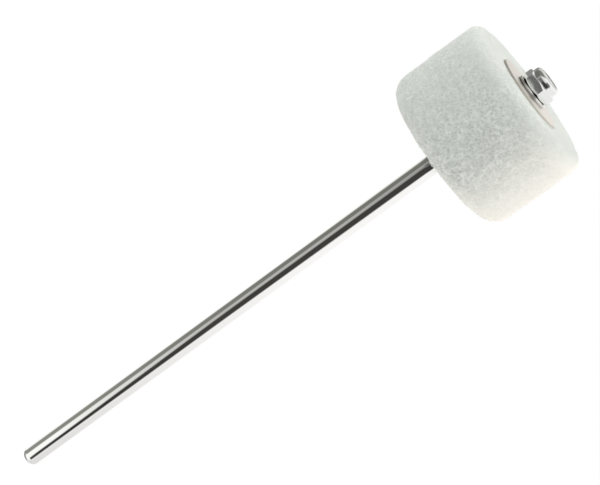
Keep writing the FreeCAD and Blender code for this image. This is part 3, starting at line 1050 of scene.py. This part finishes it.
def mirror_screen(cards):
    """Round white screen that only mirrors see, with a floor and a ceiling, and soft-edged cards on it.

    A place on it is its height, which runs on inwards across the floor and the ceiling.
    A card is a colour, the softness of its edges in degrees, and its stations
    (place in metres, left and right azimuth in degrees from the camera towards +X, brightness).
    Going through the cards, light = light + cover * (card - light),
    where cover rises from 0 to 1 across each edge.
    """
    inset = SCREEN_DISTANCE - SCREEN_HOLE
    place = np.linspace(SCREEN_FOOT - inset, SCREEN_TOP + inset, SCREEN_ROWS)[:, None]
    height = np.clip(place, SCREEN_FOOT, SCREEN_TOP)
    radius = SCREEN_DISTANCE - np.abs(place - height)
    azimuth = np.linspace(-180, 180, SCREEN_COLUMNS, endpoint=False)
    light = np.ones((len(place), len(azimuth), 3))
    for colour, softness, stations in cards:
        places, lefts, rights, levels = np.array(stations, float).T
        left = np.interp(place, places, lefts)
        right = np.interp(place, places, rights)
        level = np.interp(place, places, levels)
        aside = np.abs((azimuth - (left + right) / 2 + 180) % 360 - 180)
        half = (right - left) / 2
        reached = (place >= places[0]) & (place <= places[-1])
        cover = (reached * (1 - step_between(aside, half - softness, half + softness)))[..., None]
        light += cover * (level[..., None] * np.array(colour) - light)
    grid = swung(radius, height, np.radians(azimuth - 90))
    quads = grid_quads(grid, rows_meet=False, columns_meet=True)[1]
    mesh = bpy.data.meshes.new("mirror_screen")
    mesh.from_pydata(grid.reshape(-1, 3).tolist(), [], quads.tolist())
    paint = mesh.attributes.new("light", "FLOAT_COLOR", "POINT")
    opaque = np.append(light, np.ones_like(light[..., :1]), axis=-1)
    paint.data.foreach_set("color", opaque.astype(np.float32).ravel())
    screen = new_object("mirror_screen", mesh)
    material, tree, shader = new_material("mirror screen")
    tree.nodes.remove(shader)
    painted = node(tree, "ShaderNodeAttribute", attribute_name="light")
    glow = node(tree, "ShaderNodeEmission")
    wire(tree, painted, "Color", glow, "Color")
    wire(tree, glow, "Emission", tree.nodes["Material Output"], "Surface")
    mesh.materials.append(material)
    screen.visible_camera = False
    screen.visible_diffuse = False
    screen.visible_transmission = False
    screen.visible_shadow = False


def soft_lamp(name, place, size, power, colour):
    """Square area lamp that mirrors don't see, turned to the middle of the head."""
    data = bpy.data.lights.new(name, "AREA")
    data.size = size
    data.energy = power
    data.color = colour
    lamp = new_object(name, data)
    heading = Vector(HEAD_CENTRE) - Vector(place)
    turn = heading.to_track_quat("-Z", "Y").to_matrix().to_4x4()
    lamp.matrix_world = Matrix.Translation(place) @ turn
    lamp.visible_glossy = False


def white_surround():
    """World that looks white to the camera and in mirrors, and lights the rest with its ambient colour."""
    world = bpy.data.worlds.new("white surround")
    world.use_nodes = True
    bpy.context.scene.world = world
    tree = world.node_tree
    light = colour_mix(tree, (*AMBIENT, 1), (1, 1, 1, 1))
    wire(tree, seen_white(tree), "Value", light, "Factor")
    wire(tree, light, "Result", tree.nodes["Background"], "Color")


def photo_camera():
    """Camera of the photo, from the rod's slope and lean in it and the place of the rod's tip.

    In camera axes (right, down, ahead) the rod points along
    (cos lean cos slope, -cos lean sin slope, -sin lean), and -Y is square to it towards the camera.
    """
    slope = math.radians(36.141)
    lean = math.radians(13.076)
    tip = np.array([-91.48, 72.77, 805.14]) * MM
    focal_pixels = 2400
    picture_width = 600
    sensor = 36.0
    up_rod = np.array(
        [math.cos(lean) * math.cos(slope), -math.cos(lean) * math.sin(slope), -math.sin(lean)]
    )
    away = tip - (tip @ up_rod) * up_rod
    away /= np.linalg.norm(away)
    axes = np.stack([np.cross(away, up_rod), away, up_rod], axis=1)
    turn = axes.T @ np.diag([1.0, -1.0, -1.0])
    data = bpy.data.cameras.new("photo camera")
    data.sensor_width = sensor
    data.lens = focal_pixels / picture_width * sensor
    data.clip_start = 0.02
    data.clip_end = 60
    camera = new_object("photo camera", data)
    camera.matrix_world = Matrix.Translation(-axes.T @ tip) @ Matrix(turn.tolist()).to_4x4()
    bpy.context.scene.camera = camera


white_floor()
mirror_screen([FLOOR_CARD, GREY_BOARD, GRADED_CARD, DARK_FLAG, PALE_CARD, BACK_FLAG])
soft_lamp(
    "key from the right", place=(0.95, 0.31, -0.02), size=0.45, power=7.2, colour=(1.0, 0.85, 0.79)
)
soft_lamp(
    "rim from behind at the left", place=(-0.8, 0.5, 0.3), size=0.6, power=2.2, colour=(0.97, 1.0, 0.98)
)
soft_lamp("lamp overhead", place=(-0.05, -0.1, 1.1), size=0.7, power=3.1, colour=(1.0, 1.0, 0.97))
white_surround()
photo_camera()
bpy.context.scene.view_settings.view_transform = "Standard"
